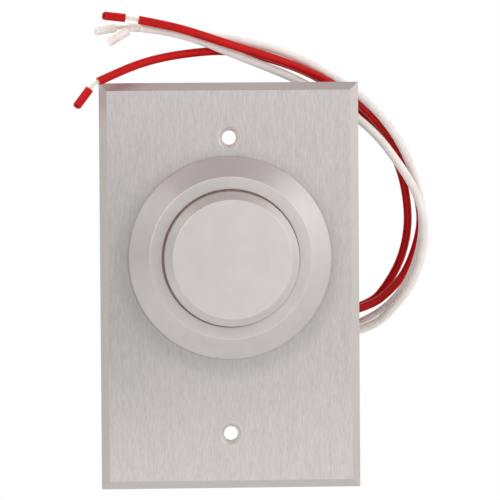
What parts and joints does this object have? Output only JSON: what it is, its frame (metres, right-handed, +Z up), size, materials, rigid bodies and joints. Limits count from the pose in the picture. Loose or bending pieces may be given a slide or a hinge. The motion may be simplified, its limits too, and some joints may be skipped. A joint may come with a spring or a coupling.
{
  "type": "push button light switch",
  "caption": "Large round push button in a conical collar on a bevelled metal wall plate, with an air-damped mechanism, snap switches and red and white leads behind.",
  "frame": {"origin": "centre of the two box screw holes on the back face of the wall plate", "axes": "+X to the right seen from the room, +Y into the wall, +Z up; the button faces -Y"},
  "size_m": [0.1024, 0.0671, 0.1344],
  "materials": {
    "brushed_stainless": "satin, vertical grain",
    "collar_aluminium": "bead blasted and clear anodised",
    "button_aluminium": "bead blasted and clear anodised",
    "plated_steel": "zinc plated",
    "turned_steel": "ground",
    "spring_steel": "drawn wire",
    "turned_brass": "turned",
    "brown_felt": "pressed wool felt",
    "black_rubber": "moulded",
    "black_plastic": "moulded, fine matt",
    "white_acetal": "moulded",
    "switch_plastic": "moulded",
    "fish_paper": "sheet",
    "red_insulation": "extruded, soft gloss",
    "white_insulation": "extruded, soft gloss",
    "tinned_strands": "tinned, twisted"
  },
  "bodies": {
    "mechanism": {"wall_plate": "brushed_stainless", "collar": "collar_aluminium", "wiper_ring": "brown_felt", "lock_washer": "plated_steel", "barrel_nut": "plated_steel", "chamber_gasket": "black_rubber", "housing": "black_plastic", "rod_bush": "turned_brass", "rod_seal": "black_rubber", "check_valve": "black_rubber", "switch_insulator": "fish_paper", "switch_bracket": "plated_steel", "bracket_screws": "plated_steel", "switch_screws": "plated_steel", "rear_cover": "black_plastic", "cover_screws": "plated_steel", "lead_grommet": "black_rubber", "switch_case_upper": "switch_plastic", "switch_case_lower": "switch_plastic", "return_spring": "spring_steel", "lead_white_front": "white_insulation", "strands_white_front": "tinned_strands", "slug_white_front": "white_insulation", "lead_white_rear": "white_insulation", "strands_white_rear": "tinned_strands", "slug_white_rear": "white_insulation", "lead_red_front": "red_insulation", "strands_red_front": "tinned_strands", "slug_red_front": "red_insulation", "lead_red_rear": "red_insulation", "strands_red_rear": "tinned_strands", "slug_red_rear": "red_insulation"},
    "pusher": {"button_cap": "button_aluminium", "piston": "white_acetal", "piston_cup": "black_rubber", "spring_plate": "plated_steel", "piston_rod": "turned_steel", "actuator_arm": "white_acetal", "arm_clip": "spring_steel"},
    "needle": {"needle_screw": "turned_brass", "needle_seal": "black_rubber"},
    "lever_upper": {"switch_lever_upper": "spring_steel"},
    "lever_lower": {"switch_lever_lower": "spring_steel"},
    "pin_upper": {"switch_pin_upper": "white_acetal"},
    "pin_lower": {"switch_pin_lower": "white_acetal"}
  },
  "joints": [
    {"name": "button_slide", "type": "slide", "parent": "mechanism", "child": "pusher", "axis": [0, 1, 0], "range_m": [0, 0.009], "stiffness_N_per_m": 800, "springref_m": -0.005, "deforming": ["return_spring"]},
    {"name": "needle_turn", "type": "hinge", "parent": "mechanism", "child": "needle", "pos_m": [0, 0.03, 0.02444], "axis": [0, 1, 0], "range_deg": [-180, 180]},
    {"name": "lever_upper_swing", "type": "hinge", "parent": "mechanism", "child": "lever_upper", "pos_m": [0.007, 0.028, -0.0106], "axis": [0, 0, -1], "range_deg": [0, 7.7]},
    {"name": "pin_upper_slide", "type": "slide", "parent": "mechanism", "child": "pin_upper", "axis": [1, 0, 0], "range_m": [0, 0.00061]},
    {"name": "lever_lower_swing", "type": "hinge", "parent": "mechanism", "child": "lever_lower", "pos_m": [0.007, 0.028, -0.017], "axis": [0, 0, -1], "range_deg": [0, 7.7]},
    {"name": "pin_lower_slide", "type": "slide", "parent": "mechanism", "child": "pin_lower", "axis": [1, 0, 0], "range_m": [0, 0.00061]}
  ],
  "couplings": [
    {"joint": "lever_upper_swing", "follows": "button_slide", "rad_per_m": 14.8},
    {"joint": "pin_upper_slide", "follows": "button_slide", "ratio": 0.0667},
    {"joint": "lever_lower_swing", "follows": "button_slide", "rad_per_m": 14.8},
    {"joint": "pin_lower_slide", "follows": "button_slide", "ratio": 0.0667}
  ]
}
